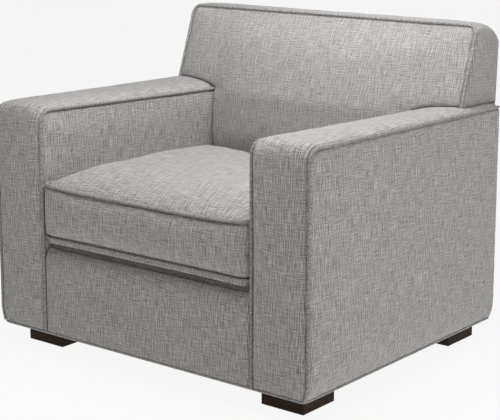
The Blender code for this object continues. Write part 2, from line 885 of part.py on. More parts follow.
def make_cushion_core():
    """The foam block, crowned on top, with eased edges where the welts run."""
    cuts = 8
    full = UNDER_CLOTH
    eased = SEAM_ALLOWANCE + CLOTH
    low_seam, high_seam = CUSHION_LOWER_SEAM_Z, CUSHION_UPPER_SEAM_Z
    beside_welt = PIPING + 2 * GAP
    levels = [
        (CUSHION_BASE_Z + UNDER_CLOTH, eased),
        (low_seam + beside_welt, eased),
        (low_seam + beside_welt + 0.003, full),
        (low_seam + 0.030, full),
        (low_seam + 0.045, full),
        (high_seam - 0.045, full),
        (high_seam - 0.030, full),
        (high_seam - beside_welt - 0.003, full),
        (high_seam - beside_welt, eased),
        (high_seam - UNDER_CLOTH, eased),
    ]
    bm = bmesh.new()
    bmesh.ops.create_cube(bm, size=2.0)
    bmesh.ops.subdivide_edges(bm, edges=bm.edges, cuts=cuts, use_grid_fill=True)
    for vert in bm.verts:
        across, along, up = vert.co
        level = round((up + 1) / 2 * (cuts + 1))
        z, inset = levels[level]
        x, y = cushion_grid_point(across, along, inset)
        if level > cuts:
            z += CORE_CROWN * cushion_crown(across, along)
        vert.co = (x, y, z)
    obj = object_from(bm, "cushion_core", foam())
    smooth(obj)
    return obj


def make_cushion_welts():
    heights = {"top": CUSHION_UPPER_SEAM_Z, "bottom": CUSHION_LOWER_SEAM_Z}
    made = []
    for name, z in heights.items():
        points = [(x, y, z) for x, y in cushion_ring(PIPING)]
        made.append(cord(f"cushion_{name}_welt", points, PIPING, piping_cloth(), closed=True))
    return made


def make_zip():
    """The zip in the cushion's rear boxing: tape, slider, and the pull that hangs on it."""
    tape_front = CUSHION_REAR_Y + GAP
    tape_rear = tape_front + ZIP_TAPE
    low = (-ZIP_HALF_LENGTH, tape_front, ZIP_Z - ZIP_HALF_WIDTH)
    tape = box("zip_tape", low, (ZIP_HALF_LENGTH, tape_rear, ZIP_Z + ZIP_HALF_WIDTH), zip_plastic())
    slider_front = tape_rear + GAP
    slider_rear = slider_front + SLIDER_SIZE[1]
    slider = box(
        "zip_slider",
        (ZIP_START_X - SLIDER_SIZE[0] / 2, slider_front, ZIP_Z - SLIDER_SIZE[2] / 2),
        (ZIP_START_X + SLIDER_SIZE[0] / 2, slider_rear, ZIP_Z + SLIDER_SIZE[2] / 2),
        spring_steel(),
    )
    ease = slider.modifiers.new("eased_edges", "BEVEL")
    ease.width = 0.0008
    ease.segments = 1
    pull = make_zip_pull(slider_rear + GAP)
    return tape, slider, pull


def make_zip_pull(front):
    """A small tab. Its origin is on the hinge axis at its upper edge."""
    half_thickness, half_width = PULL_THICKNESS / 2, PULL_WIDTH / 2
    axis = Vector((ZIP_START_X, front + half_thickness, ZIP_Z + 0.001))
    pull = box(
        "zip_pull",
        (axis.x - half_width, axis.y - half_thickness, axis.z - PULL_LENGTH),
        (axis.x + half_width, axis.y + half_thickness, axis.z + half_thickness),
        spring_steel(),
    )
    pull.data.transform(Matrix.Translation(pull.location - axis))
    pull.location = axis
    return pull


def parent_to(children, name, place):
    """An empty that carries these pieces, which stay where they are."""
    empty = bpy.data.objects.new(name, None)
    empty.location = place
    link(empty)
    for child in children:
        child.parent = empty
        child.matrix_parent_inverse = Matrix.Translation(-Vector(place))
    return empty


def make_cushion():
    pieces = [make_cushion_core(), make_cushion_boxing(), *make_cushion_panels(), *make_cushion_welts()]
    tape, slider, pull = make_zip()
    middle_y = (CUSHION_FRONT_Y + CUSHION_REAR_Y) / 2
    parent_to([*pieces, tape], "cushion_lift", (0, middle_y, CUSHION_BASE_Z))
    parent_to([slider, pull], "zip_travel", slider.location)


def main():
    clear_scene()
    make_feet()
    make_frame()
    make_seat_springs()
    make_deck()
    make_front_rail_cover()
    make_arms()
    make_back()
    make_base()
    make_cushion()


main()
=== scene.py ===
import json
import math

import bmesh
import bpy
import numpy as np
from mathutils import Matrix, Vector, noise


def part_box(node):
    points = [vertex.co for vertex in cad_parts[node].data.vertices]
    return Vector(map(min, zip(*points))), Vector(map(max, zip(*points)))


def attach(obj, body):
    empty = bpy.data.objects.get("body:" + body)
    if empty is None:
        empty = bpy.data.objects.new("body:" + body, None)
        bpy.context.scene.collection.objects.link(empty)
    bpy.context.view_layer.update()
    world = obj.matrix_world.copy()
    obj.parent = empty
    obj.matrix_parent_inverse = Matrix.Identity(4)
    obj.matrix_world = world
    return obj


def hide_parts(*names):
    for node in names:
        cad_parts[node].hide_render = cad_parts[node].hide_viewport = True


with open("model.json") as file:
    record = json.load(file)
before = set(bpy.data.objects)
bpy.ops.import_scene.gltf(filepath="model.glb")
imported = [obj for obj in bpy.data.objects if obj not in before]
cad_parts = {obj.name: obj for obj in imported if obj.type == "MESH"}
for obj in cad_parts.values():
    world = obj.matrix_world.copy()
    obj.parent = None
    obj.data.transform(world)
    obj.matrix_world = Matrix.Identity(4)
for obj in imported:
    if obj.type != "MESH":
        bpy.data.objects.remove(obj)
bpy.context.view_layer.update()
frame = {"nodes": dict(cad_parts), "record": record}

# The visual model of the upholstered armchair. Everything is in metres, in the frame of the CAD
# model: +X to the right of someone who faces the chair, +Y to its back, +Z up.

# Places that the CAD model sets
HALF_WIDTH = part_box("outside_arm_panel_right")[1].x
ARM_INNER_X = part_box("inside_arm_panel_right")[0].x
FRONT_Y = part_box("front_rail_panel")[0].y
ARM_REAR_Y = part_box("outside_arm_panel_right")[1].y
COVER_BASE_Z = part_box("front_rail_panel")[0].z
DECK_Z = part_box("deck_cloth")[1].z
DECK_REAR_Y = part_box("deck_cloth")[1].y
BACK_SIDE_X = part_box("back_band")[1].x
BACK_TOP_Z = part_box("back_band")[1].z
CUSHION_LOW, CUSHION_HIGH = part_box("cushion_boxing")
BASE_WELT_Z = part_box("base_welt")[0].z
SEAT_HALF_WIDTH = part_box("front_rail_panel")[1].x

# Lattices: the usual distance between lines, and the distances of the lines nearest to a seam
STEP = 0.011
NEAR_SEAM = (0.0046, 0.0064, 0.0080, 0.0100, 0.0145)
EPS = 1e-6

# Arms: the seams' height at the front, how they fall per metre to the rear, the rounded front
# corner, how far the cloth crowns between the seams, and how the outer side turns in at its foot
ARM_SEAM_Z = 0.5925
INNER_SEAM_DROP = 0.001
INNER_SLOPE = -0.0325
OUTER_SLOPE = -0.0120
ARM_CORNER = 0.034
ARM_CROWN = 0.009
ARM_FRONT_CROWN = 0.004
ARM_TUCK = 0.009
ARM_TUCK_HEIGHT = 0.040

# Back: the face bends at BEND_Z and leans back above it, and is hollow below HOLLOW_Z, behind the
# cushion. The wings of the T start at WING_Z. The rear is a leaning plane up to REAR_BEND_Z.
BEND_Z = 0.566
HOLLOW_Z = (0.375, 0.420)
WING_Z = 0.5865
REAR_BEND_Z = 0.7387
FACE_Y = 0.230
HOLLOW_Y = 0.224
UPPER_LEAN = 0.34
LOWER_LEAN = 0.075
REAR_FOOT_Y = 0.3765
REAR_LEAN = 0.0466
BACK_COVER_GAP = 0.0035
BACK_DEPTH = 0.150
BACK_CORNER = 0.025
BACK_CROWN = 0.018

# Seat cushion: its seams and underside, its rounded corners, and its crown, which rises over
# CUSHION_SHOULDER from the edge and is lower to the rear. The corners stand up as ears.
CUSHION_LOWER_SEAM_Z = 0.2885
CUSHION_UPPER_SEAM_Z = 0.4085
CUSHION_BASE_Z = 0.2782
CUSHION_DROOP = 0.0045
CUSHION_OVERHANG = 0.018
CUSHION_CORNER = 0.032
CUSHION_SHOULDER = 0.160
CUSHION_CROWN = 0.046
CUSHION_WAIST = 0.004
REAR_FALL = 0.34
EAR = 0.0095
LOWER_EAR = 0.001

# Piping's radius and how far its middle lies inside the seam, and the groove on both sides of it
PIPING = 0.0038
BASE_PIPING = 0.0034
PIPING_INSET = PIPING - 0.0012
GROOVE = 0.0066
IN_GROOVE = 0.0060
GROOVE_END = 0.0098

SIMULATION_FRAMES = 18


# Shape tools


def spaced(low, high, step=STEP, edge=NEAR_SEAM):
    """Lattice lines from low to high: closer together near both ends."""
    start = [low, *(low + e for e in edge)]
    end = [*(high - e for e in reversed(edge)), high]
    count = max(1, round((end[0] - start[-1]) / step))
    return start + [start[-1] + (end[0] - start[-1]) * n / count for n in range(1, count)] + end


def smooth_ramp(value, low, high):
    """From 0 at low to 1 at high, level at both ends."""
    share = min(1.0, max(0.0, (value - low) / (high - low)))
    return share * share * (3 - 2 * share)


def groove(distance):
    """How deep the cloth is drawn in, this far from a seam."""
    return GROOVE * (1 - smooth_ramp(distance, IN_GROOVE, GROOVE_END))


def rolled(distance, radius):
    """How far a surface has turned away this far from an edge that is rolled to a radius."""
    left = max(0.0, radius - distance)
    return radius - math.sqrt(max(0.0, radius * radius - left * left))


def lattice_shell(xs, ys, zs, filled):
    """The lattice points and outward faces of the surface round a lattice's filled cells."""
    lines = [np.array(values) for values in (xs, ys, zs)]
    middles = np.meshgrid(*[(line[1:] + line[:-1]) / 2 for line in lines], indexing="ij")
    cells = np.pad(filled(*middles), 1)
    numbers, faces = {}, []
    around = ((0, 0), (1, 0), (1, 1), (0, 1))
    for axis in range(3):
        second, third = (axis + 1) % 3, (axis + 2) % 3
        for side in (-1, 1):
            for cell in np.argwhere(cells & ~np.roll(cells, -side, axis)):
                face = []
                for a, b in around[::side]:
                    corner = [int(c) - 1 for c in cell]
                    corner[axis] += side == 1
                    corner[second] += a
                    corner[third] += b
                    face.append(numbers.setdefault(tuple(corner), len(numbers)))
                faces.append(face)
    points = [tuple(float(lines[n][c[n]]) for n in range(3)) for c in numbers]
    return points, faces


def new_object(name, points, faces, flip=False):
    """A smooth-shaded mesh. flip turns the faces over, for a mirrored shape."""
    mesh = bpy.data.meshes.new(name)
    mesh.from_pydata([tuple(p) for p in points], [], [f[::-1] if flip else f for f in faces])
    mesh.shade_smooth()
    obj = bpy.data.objects.new(name, mesh)
    bpy.context.scene.collection.objects.link(obj)
    return obj


def positions(mesh):
    flat = np.empty(len(mesh.vertices) * 3)
    mesh.vertices.foreach_get("co", flat)
    return flat.reshape(-1, 3)


def inflate(obj, pinned, pressure, cap, slack, stiffness=12.0):
    """Cloth simulation: pressure swells the cover between its pinned seams, by at most cap. The
    cloth is larger than the lattice by the share slack."""
    rest = positions(obj.data)
    group = obj.vertex_groups.new(name="pinned")
    for index, weight in enumerate(pinned):
        if weight > 0:
            group.add([index], weight, "REPLACE")
    cloth = obj.modifiers.new("cloth", "CLOTH")
    settings = cloth.settings
    settings.quality = 6
    settings.mass = 0.35
    settings.tension_stiffness = settings.compression_stiffness = stiffness
    settings.shear_stiffness = stiffness / 2
    settings.bending_stiffness = 0.4
    settings.use_pressure = True
    settings.uniform_pressure_force = pressure
    settings.vertex_group_mass = group.name
    settings.shrink_min = -slack
    settings.effector_weights.gravity = 0.0
    cloth.collision_settings.use_collision = False
    cloth.point_cache.frame_end = SIMULATION_FRAMES
    scene = bpy.context.scene
    for number in range(1, SIMULATION_FRAMES + 1):
        scene.frame_set(number)
    evaluated = obj.evaluated_get(bpy.context.evaluated_depsgraph_get())
    moved = positions(evaluated.data) - rest
    obj.modifiers.remove(cloth)
    obj.vertex_groups.clear()
    scene.frame_set(1)
    length = np.linalg.norm(moved, axis=1, keepdims=True) + 1e-12
    moved *= cap * np.tanh(length / cap) / length
    obj.data.vertices.foreach_set("co", (rest + moved).ravel())


def finished(obj, look, body, replaced=(), levels=1):
    """Look, subdivision, body, the CAD nodes that the piece stands for, and material slot."""
    obj.data.materials.append(look)
    if levels:
        subdivision = obj.modifiers.new("subdivision", "SUBSURF")
        subdivision.levels = subdivision.render_levels = levels
    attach(obj, body)
    if replaced:
        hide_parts(*replaced)


def unevenness(point, size, amount):
    """Gentle waves of this size, up to this amount."""
    return noise.noise(Vector(point) / size) * amount


def tube(name, path, radius, sides=10, closed=False):
    """A piece of piping along these points."""
    path = [Vector(p) for p in path]
    count = len(path)
    points, faces = [], []
    side_way = None
    for index, place in enumerate(path):
        if closed:
            ahead = path[(index + 1) % count] - path[index - 1]
        else:
            ahead = path[min(index + 1, count - 1)] - path[max(index - 1, 0)]
        ahead.normalize()
        if side_way is None:
            side_way = ahead.orthogonal()
        side_way = (side_way - ahead * side_way.dot(ahead)).normalized()
        up = ahead.cross(side_way)
        thick = radius * (1 + 0.05 * noise.noise(place * 45))
        for n in range(sides):
            angle = 2 * math.pi * n / sides
            points.append(place + (side_way * math.cos(angle) + up * math.sin(angle)) * thick)
    rings = count if closed else count - 1
    twist = 0
    if closed:
        last, first = points[-sides:], points[:sides]
        twist = min(range(sides), key=lambda t: (last[t] - first[0]).length)
    for ring in range(rings):
        following = (ring + 1) % count
        for n in range(sides):
            m = (n + 1) % sides
            shift = twist if following == 0 and closed else 0
            here, there = ring * sides, following * sides
            near, far = here + (n + shift) % sides, here + (m + shift) % sides
            faces.append([near, far, there + m, there + n])
    if not closed:
        faces.append(list(range(sides))[::-1])
        faces.append([(count - 1) * sides + n for n in range(sides)])
    return new_object(name, points, faces)


def resampled(path, step, closed=False):
    """Points about a step apart along a path."""
    path = [Vector(p) for p in path]
    if closed:
        path.append(path[0].copy())
    lengths = [0.0]
    for before, after in zip(path, path[1:]):
        lengths.append(lengths[-1] + (after - before).length)
    count = max(2, round(lengths[-1] / step))
    made, segment = [], 0
    for n in range(count if closed else count + 1):
        at = lengths[-1] * n / count
        while segment < len(path) - 2 and lengths[segment + 1] < at:
            segment += 1
        span = max(lengths[segment + 1] - lengths[segment], 1e-9)
        made.append(path[segment].lerp(path[segment + 1], (at - lengths[segment]) / span))
    return made


# Materials


def connect(tree, value, socket):
    """Links a socket to another node's output, or sets it to a plain value."""
    if isinstance(value, bpy.types.NodeSocket):
        tree.links.new(value, socket)
    else:
        socket.default_value = value


def math_node(tree, operation, *values, clamp=False):
    made = tree.nodes.new("ShaderNodeMath")
    made.operation = operation
    made.use_clamp = clamp
    for socket, value in zip(made.inputs, values):
        connect(tree, value, socket)
    return made.outputs[0]


def noise_node(tree, vector, scale, detail=2.0, roughness=0.55):
    made = tree.nodes.new("ShaderNodeTexNoise")
    tree.links.new(vector, made.inputs["Vector"])
    made.inputs["Scale"].default_value = scale
    made.inputs["Detail"].default_value = detail
    made.inputs["Roughness"].default_value = roughness
    return made.outputs["Fac"]


def scaled_vector(tree, vector, scale, offset=(0, 0, 0)):
    made = tree.nodes.new("ShaderNodeMapping")
    tree.links.new(vector, made.inputs["Vector"])
    made.inputs["Scale"].default_value = scale
    made.inputs["Location"].default_value = offset
    return made.outputs[0]


def ramp_node(tree, value, stops):
    made = tree.nodes.new("ShaderNodeValToRGB")
    tree.links.new(value, made.inputs[0])
    elements = made.color_ramp.elements
    while len(elements) < len(stops):
        elements.new(0.5)
    for element, (place, color) in zip(elements, stops):
        element.position = place
        element.color = (*color, 1.0)
    return made.outputs[0]


def mixed(tree, factor, first, second):
    made = tree.nodes.new("ShaderNodeMix")
    made.data_type = "RGBA"
    connect(tree, factor, made.inputs[0])
    connect(tree, first, made.inputs[6])
    connect(tree, second, made.inputs[7])
    return made.outputs[2]


def start_material(name):
    look = bpy.data.materials.new(name)
    look.use_nodes = True
    tree = look.node_tree
    return look, tree, tree.nodes["Principled BSDF"]


def bump(tree, shader, height, strength, distance):
    made = tree.nodes.new("ShaderNodeBump")
    made.inputs["Strength"].default_value = strength
    made.inputs["Distance"].default_value = distance
    tree.links.new(height, made.inputs["Height"])
    tree.links.new(made.outputs[0], shader.inputs["Normal"])


def cloth_plane(tree, turn=0.0):
    """Coordinates along the cloth's two threads, whichever way the surface faces."""
    place = tree.nodes.new("ShaderNodeTexCoord")
    spot = tree.nodes.new("ShaderNodeSeparateXYZ")
    tree.links.new(place.outputs["Object"], spot.inputs[0])
    normal = tree.nodes.new("ShaderNodeSeparateXYZ")
    tree.links.new(place.outputs["Normal"], normal.inputs[0])
    x, y, z = spot.outputs
    nx, ny, nz = (math_node(tree, "ABSOLUTE", out) for out in normal.outputs)
    facing_x = math_node(tree, "GREATER_THAN", nx, math_node(tree, "MAXIMUM", ny, nz))
    facing_z = math_node(tree, "GREATER_THAN", nz, math_node(tree, "MAXIMUM", nx, ny))
    across = math_node(tree, "MULTIPLY_ADD", facing_x, math_node(tree, "SUBTRACT", y, x), x)
    along = math_node(tree, "MULTIPLY_ADD", facing_z, math_node(tree, "SUBTRACT", y, z), z)
    joined = tree.nodes.new("ShaderNodeCombineXYZ")
    tree.links.new(across, joined.inputs[0])
    tree.links.new(along, joined.inputs[1])
    tree.links.new(math_node(tree, "ADD", facing_x, facing_z), joined.inputs[2])
    if not turn:
        return joined.outputs[0], place.outputs["Object"]
    turned = tree.nodes.new("ShaderNodeVectorRotate")
    turned.rotation_type = "Z_AXIS"
    turned.inputs["Angle"].default_value = turn
    tree.links.new(joined.outputs[0], turned.inputs["Vector"])
    return turned.outputs[0], place.outputs["Object"]


def weave(tree, plane, pitch):
    """Height of a plain weave: threads over and under each other."""
    parts = tree.nodes.new("ShaderNodeSeparateXYZ")
    tree.links.new(scaled_vector(tree, plane, (math.pi / pitch,) * 3), parts.inputs[0])
    waves = [math_node(tree, "SINE", out) for out in parts.outputs[:2]]
    return math_node(tree, "MULTIPLY", *waves)


def fine_ribs(tree, plane, scale, step):
    """Thread-wide streaks: the noise less the same noise one thread further on, which leaves no
    blotches."""
    here = noise_node(tree, scaled_vector(tree, plane, scale), 1.0, 1.0)
    beside = noise_node(tree, scaled_vector(tree, plane, scale, step), 1.0, 1.0)
    return math_node(tree, "SUBTRACT", here, beside)


# The cloth's colours as shares of its lightness: from its darkest threads to its palest, the
# warm slubs and the cool patches
TWEED_TONES = (
    (0.10, (0.43, 0.42, 0.415)),
    (0.42, (0.855, 0.832, 0.820)),
    (0.58, (1.085, 1.062, 1.05)),
    (0.92, (1.69, 1.66, 1.64)),
)
WARM = (1.20, 1.00, 0.91)
COOL = (0.955, 0.945, 0.975)
THREAD_PITCH = 0.0011


def tweed(name, light, turn=0.0, contrast=1.0):
    """Heathered linen-like cloth with slubs along both threads."""

    def lit(shares):
        return tuple(light * share for share in shares)

    look, tree, shader = start_material(name)
    plane, place = cloth_plane(tree, turn)
    fuzz = noise_node(tree, place, 480, 1.0, 0.7)
    layers = [
        (noise_node(tree, scaled_vector(tree, plane, (520, 28, 1), (3, 7, 0)), 1.0, 1.0), 0.98),
        (noise_node(tree, scaled_vector(tree, plane, (28, 480, 1), (5, 1, 0)), 1.0, 1.0), 0.76),
        (fuzz, 0.60),
        (noise_node(tree, place, 14, 2.0), 0.08),
    ]
    upright = fine_ribs(tree, plane, (420, 30, 1), (0.95, 0, 0))
    level = fine_ribs(tree, plane, (34, 420, 1), (0, 0.95, 0))
    threads = weave(tree, plane, THREAD_PITCH)
    tone = math_node(tree, "MULTIPLY_ADD", threads, 0.10, 0.5)
    tone = math_node(tree, "MULTIPLY_ADD", upright, 1.00, tone)
    tone = math_node(tree, "MULTIPLY_ADD", level, 0.64, tone)
    for value, amount in layers:
        centred = math_node(tree, "SUBTRACT", value, 0.5)
        tone = math_node(tree, "MULTIPLY_ADD", centred, amount, tone)
    tone = math_node(tree, "MULTIPLY_ADD", tone, contrast, 0.5 - 0.5 * contrast)
    grey = ramp_node(tree, tone, [(spot, lit(shares)) for spot, shares in TWEED_TONES])
    warm_spots = noise_node(tree, scaled_vector(tree, plane, (340, 26, 1), (9, 2, 0)), 1.0, 2.0)
    warm_spots = math_node(tree, "SUBTRACT", warm_spots, 0.55)
    warm = math_node(tree, "MULTIPLY", warm_spots, 3.2, clamp=True)
    warmed = mixed(tree, warm, grey, (*lit(WARM), 1.0))
    patches = noise_node(tree, place, 38, 1.0)
    patches = math_node(tree, "MULTIPLY_ADD", patches, 3.0, -1.35, clamp=True)
    cool = math_node(tree, "MULTIPLY", patches, 0.30)
    color = mixed(tree, cool, warmed, (*lit(COOL), 1.0))
    tree.links.new(color, shader.inputs["Base Color"])
    rough = math_node(tree, "MULTIPLY_ADD", fuzz, 0.16, 0.80)
    tree.links.new(rough, shader.inputs["Roughness"])
    shader.inputs["Specular IOR Level"].default_value = 0.18
    shader.inputs["Sheen Weight"].default_value = 0.12
    shader.inputs["Sheen Roughness"].default_value = 0.55
    height = math_node(tree, "MULTIPLY_ADD", threads, 0.45, tone)
    bump(tree, shader, height, 0.22, 0.0007)
    return look


def plain_cloth(name, dark, pale, pitch, roughness=0.95):
    """A plain woven lining or decking cloth."""
    look, tree, shader = start_material(name)
    plane, place = cloth_plane(tree)
    threads = weave(tree, plane, pitch)
    streaks = noise_node(tree, scaled_vector(tree, plane, (500, 30, 1)), 1.0)
    tone = math_node(tree, "MULTIPLY_ADD", threads, 0.2, streaks)
    tone = math_node(tree, "MULTIPLY_ADD", noise_node(tree, place, 9), 0.3, tone)
    color = ramp_node(tree, tone, [(0.35, dark), (0.95, pale)])
    tree.links.new(color, shader.inputs["Base Color"])
    shader.inputs["Roughness"].default_value = roughness
    bump(tree, shader, threads, 0.5, 0.0004)
    return look


def wood(name, stops, roughness):
    """Timber with its grain along X."""
    look, tree, shader = start_material(name)
    place = tree.nodes.new("ShaderNodeTexCoord").outputs["Object"]
    grain = noise_node(tree, scaled_vector(tree, place, (4, 90, 90)), 1.0, 5.0, 0.65)
    pores = noise_node(tree, scaled_vector(tree, place, (16, 360, 360)), 1.0, 2.0)
    tone = math_node(tree, "MULTIPLY_ADD", math_node(tree, "SUBTRACT", pores, 0.5), 0.3, grain)
    tree.links.new(ramp_node(tree, tone, stops), shader.inputs["Base Color"])
    rough = math_node(tree, "MULTIPLY_ADD", grain, 0.25, roughness - 0.12)
    tree.links.new(rough, shader.inputs["Roughness"])
    shader.inputs["Specular IOR Level"].default_value = 0.08
    bump(tree, shader, tone, 0.25, 0.0006)
    return look


def metal(name, color, roughness):
    """Drawn or plated steel with fine streaks and a little dulling."""
    look, tree, shader = start_material(name)
    place = tree.nodes.new("ShaderNodeTexCoord").outputs["Object"]
    streaks = noise_node(tree, scaled_vector(tree, place, (900, 900, 60)), 1.0, 2.0)
    dark = tuple(c * 0.72 for c in color)
    tone = ramp_node(tree, streaks, [(0.3, dark), (0.7, color)])
    tree.links.new(tone, shader.inputs["Base Color"])
    rough = math_node(tree, "MULTIPLY_ADD", streaks, 0.2, roughness - 0.1)
    tree.links.new(rough, shader.inputs["Roughness"])
    shader.inputs["Metallic"].default_value = 1.0
    bump(tree, shader, streaks, 0.15, 0.0002)
    return look


COVER = tweed("heathered_linen", 0.405)
# The back's face gets a copy of the cover cloth that is a little darker and lower in contrast:
# painted shade and a painted wash of light, for how the light falls on the back
BACK_COVER_PAINTED_LIGHT = tweed("heathered_linen_back_painted_light", 0.385, contrast=0.74)
# The piping is the cover cloth cut on the bias; its darker tone is painted shade, which darkens the
# lines of the seams
PIPING_PAINTED_SHADE = tweed("heathered_linen_bias_painted_shade", 0.335, math.radians(45))
DECKING = plain_cloth("decking_cloth", (0.16, 0.16, 0.16), (0.30, 0.295, 0.29), 0.0010)
LINING = plain_cloth("black_cambric", (0.008, 0.008, 0.008), (0.03, 0.03, 0.03), 0.0008)
WEBBING = plain_cloth("elastic_webbing", (0.03, 0.03, 0.035), (0.12, 0.12, 0.13), 0.0020)
ZIP_TAPE = plain_cloth("zip_tape_cloth", (0.18, 0.178, 0.175), (0.34, 0.335, 0.33), 0.0008, 0.8)
ESPRESSO = wood(
    "espresso_wood",
    [(0.30, (0.016, 0.009, 0.005)), (0.55, (0.030, 0.016, 0.009)), (0.75, (0.056, 0.031, 0.018))],
    0.50,
)
HARDWOOD = wood(
    "frame_hardwood",
    [(0.30, (0.34, 0.21, 0.11)), (0.55, (0.50, 0.34, 0.20)), (0.75, (0.62, 0.45, 0.29))],
    0.65,
)
STEEL = metal("zinc_plated_steel", (0.62, 0.62, 0.64), 0.35)
SPRING_STEEL = metal("spring_steel", (0.40, 0.40, 0.42), 0.42)
ZIP_METAL = metal("zip_metal", (0.55, 0.54, 0.52), 0.30)


def dress_cad_nodes():
    """The CAD parts that stay as they are get their own procedural materials."""
    looks = {
        "bolt_steel": STEEL,
        "spring_steel": SPRING_STEEL,
        "foot_wood": ESPRESSO,
        "frame_wood": HARDWOOD,
        "elastic_web": WEBBING,
        "zip_tape": ZIP_TAPE,
        "zip_metal": ZIP_METAL,
    }
    for part in frame["record"]["subparts"]:
        look = looks.get(part["material_slot"])
        if look:
            mesh = frame["nodes"][part["node"]].data
            mesh.materials.clear()
            mesh.materials.append(look)


# Arms


def arm_top(x, y):
    """Height of the arm's top between its two seams."""
    back = y - FRONT_Y
    inner = ARM_SEAM_Z - INNER_SEAM_DROP + INNER_SLOPE * back
    outer = ARM_SEAM_Z + OUTER_SLOPE * back
    share = (x - ARM_INNER_X) / (HALF_WIDTH - ARM_INNER_X)
    return inner + (outer - inner) * share


def arm_surface(x, y, z):
    """A lattice point moved to the arm's outline, the band's outward direction there, and the
    distance from the band along the side."""
    past_y, past_z = FRONT_Y + ARM_CORNER - y, z - (ARM_SEAM_Z - ARM_CORNER)
    outward = Vector((0, -1, 0)) if y <= FRONT_Y + EPS else Vector((0, 0, 1))
    to_band = min(y - FRONT_Y, ARM_SEAM_Z - z)
    if past_y > 0 and past_z > 0:
        outward = Vector((0, -past_y, past_z)).normalized()
        to_band = ARM_CORNER - max(past_y, past_z)
        share = max(past_y, past_z) / math.hypot(past_y, past_z)
        y = FRONT_Y + ARM_CORNER - past_y * share
        z = ARM_SEAM_Z - ARM_CORNER + past_z * share
    lift = (arm_top(x, y) - COVER_BASE_Z) / (ARM_SEAM_Z - COVER_BASE_Z)
    z = COVER_BASE_Z + (z - COVER_BASE_Z) * lift
    return Vector((x, y, z)), outward, to_band


def arm_crown(x, outward, z):
    """How far the band stands out between its two seams."""
    across = 2 * (x - ARM_INNER_X) / (HALF_WIDTH - ARM_INNER_X) - 1
    full = ARM_FRONT_CROWN + (ARM_CROWN - ARM_FRONT_CROWN) * outward.z
    low_end = smooth_ramp(z, COVER_BASE_Z, COVER_BASE_Z + 0.06)
    return full * (1 - abs(across) ** 3.4) * low_end


def tucked(x, z):
    """X of the outer side, which turns in at its bottom."""
    low = max(0.0, (COVER_BASE_Z + ARM_TUCK_HEIGHT - z) / ARM_TUCK_HEIGHT)
    share = (x - ARM_INNER_X) / (HALF_WIDTH - ARM_INNER_X)
    return x - ARM_TUCK * low * low * smooth_ramp(share, 0.3, 1.0)


def arm_place(x, y, z):
    """A lattice point of the arm moved to its place."""
    point, outward, to_band = arm_surface(x, y, z)
    to_side = min(x - ARM_INNER_X, HALF_WIDTH - x)
    if to_band < EPS:
        point += outward * (arm_crown(x, outward, point.z) - groove(to_side))
    if to_side < EPS:
        inward = 1 if x < ARM_INNER_X + EPS else -1
        point.x += inward * groove(to_band)
        rear = smooth_ramp(ARM_REAR_Y - y, 0, 0.10)
        full = smooth_ramp(to_band, 0, 0.09) * rear * smooth_ramp(z, COVER_BASE_Z, 0.16)
        point.x -= inward * (0.0015 if inward > 0 else 0.003) * full
    point.x = tucked(point.x, point.z)
    return point


def arm_welt_path(x):
    """The middle of the piping along the seam at this side of the arm."""
    inward = PIPING_INSET if x < (ARM_INNER_X + HALF_WIDTH) / 2 else -PIPING_INSET
    heights = np.linspace(COVER_BASE_Z, ARM_SEAM_Z - ARM_CORNER, 60)
    nominal = [(FRONT_Y, z) for z in heights]
    for angle in np.linspace(0, math.pi / 2, 14)[1:-1]:
        reach = ARM_CORNER / max(math.cos(angle), math.sin(angle))
        y = FRONT_Y + ARM_CORNER - reach * math.cos(angle)
        nominal.append((y, ARM_SEAM_Z - ARM_CORNER + reach * math.sin(angle)))
    nominal += [(y, ARM_SEAM_Z) for y in np.linspace(FRONT_Y + ARM_CORNER, ARM_REAR_Y - 0.002, 80)]
    path = []
    for y, z in nominal:
        point, outward, _ = arm_surface(x, y, z)
        point -= outward * PIPING_INSET
        point.x = tucked(point.x, point.z) + inward
        path.append(point)
    return resampled(path, 0.005)


def make_arm(name, side):
    lines = (
        spaced(ARM_INNER_X, HALF_WIDTH),
        spaced(FRONT_Y, ARM_REAR_Y),
        spaced(COVER_BASE_Z, ARM_SEAM_Z),
    )
    nominal, faces = lattice_shell(*lines, lambda x, y, z: x > 0)
    points, pinned = [], []
    for x, y, z in nominal:
        point = arm_place(x, y, z)
        _, _, to_band = arm_surface(x, y, z)
        to_side = min(x - ARM_INNER_X, HALF_WIDTH - x)
        seam = min(to_band, to_side) < EPS and max(to_band, to_side) < IN_GROOVE
        hidden = z < COVER_BASE_Z + EPS or y > ARM_REAR_Y - EPS
        pinned.append(1.0 if seam or hidden else 0.0)
        points.append(Vector((side * point.x, point.y, point.z)))
    obj = new_object(f"arm_cover_{name}", points, faces, flip=side < 0)
    inflate(obj, pinned, 1.5, 0.0025, 0.003, stiffness=20)
    replaced = ("arm_band", "outside_arm_panel", "inside_arm_panel", "arm_pad")
    replaced = [f"{part}_{name}" for part in replaced]
    finished(obj, COVER, "chair_frame", replaced)
    for which, x in (("inner", ARM_INNER_X), ("outer", HALF_WIDTH)):
        path = [Vector((side * p.x, p.y, p.z)) for p in arm_welt_path(x)]
        welt = tube(f"arm_{which}_piping_{name}", path, PIPING)
        node = f"arm_{which}_welt_{name}"
        finished(welt, PIPING_PAINTED_SHADE, "chair_frame", [node], levels=0)


# Back


def back_edge_y(z):
    """Y of the back's face at its edges."""
    if z > BEND_Z:
        return FACE_Y + UPPER_LEAN * (z - BEND_Z)
    lean = FACE_Y + LOWER_LEAN * (z - BEND_Z)
    hollow = 1 - smooth_ramp(z, *HOLLOW_Z)
    return lean + hollow * (HOLLOW_Y - lean)


def outside_back_y(z):
    return REAR_FOOT_Y + REAR_LEAN * (z - COVER_BASE_Z)


def wing_floor(x, y):
    """Height of the arm's top under the wing."""
    x = min(max(abs(x), ARM_INNER_X), BACK_SIDE_X)
    return arm_top(x, y) + arm_crown(x, Vector((0, 0, 1)), ARM_SEAM_Z) - 0.001


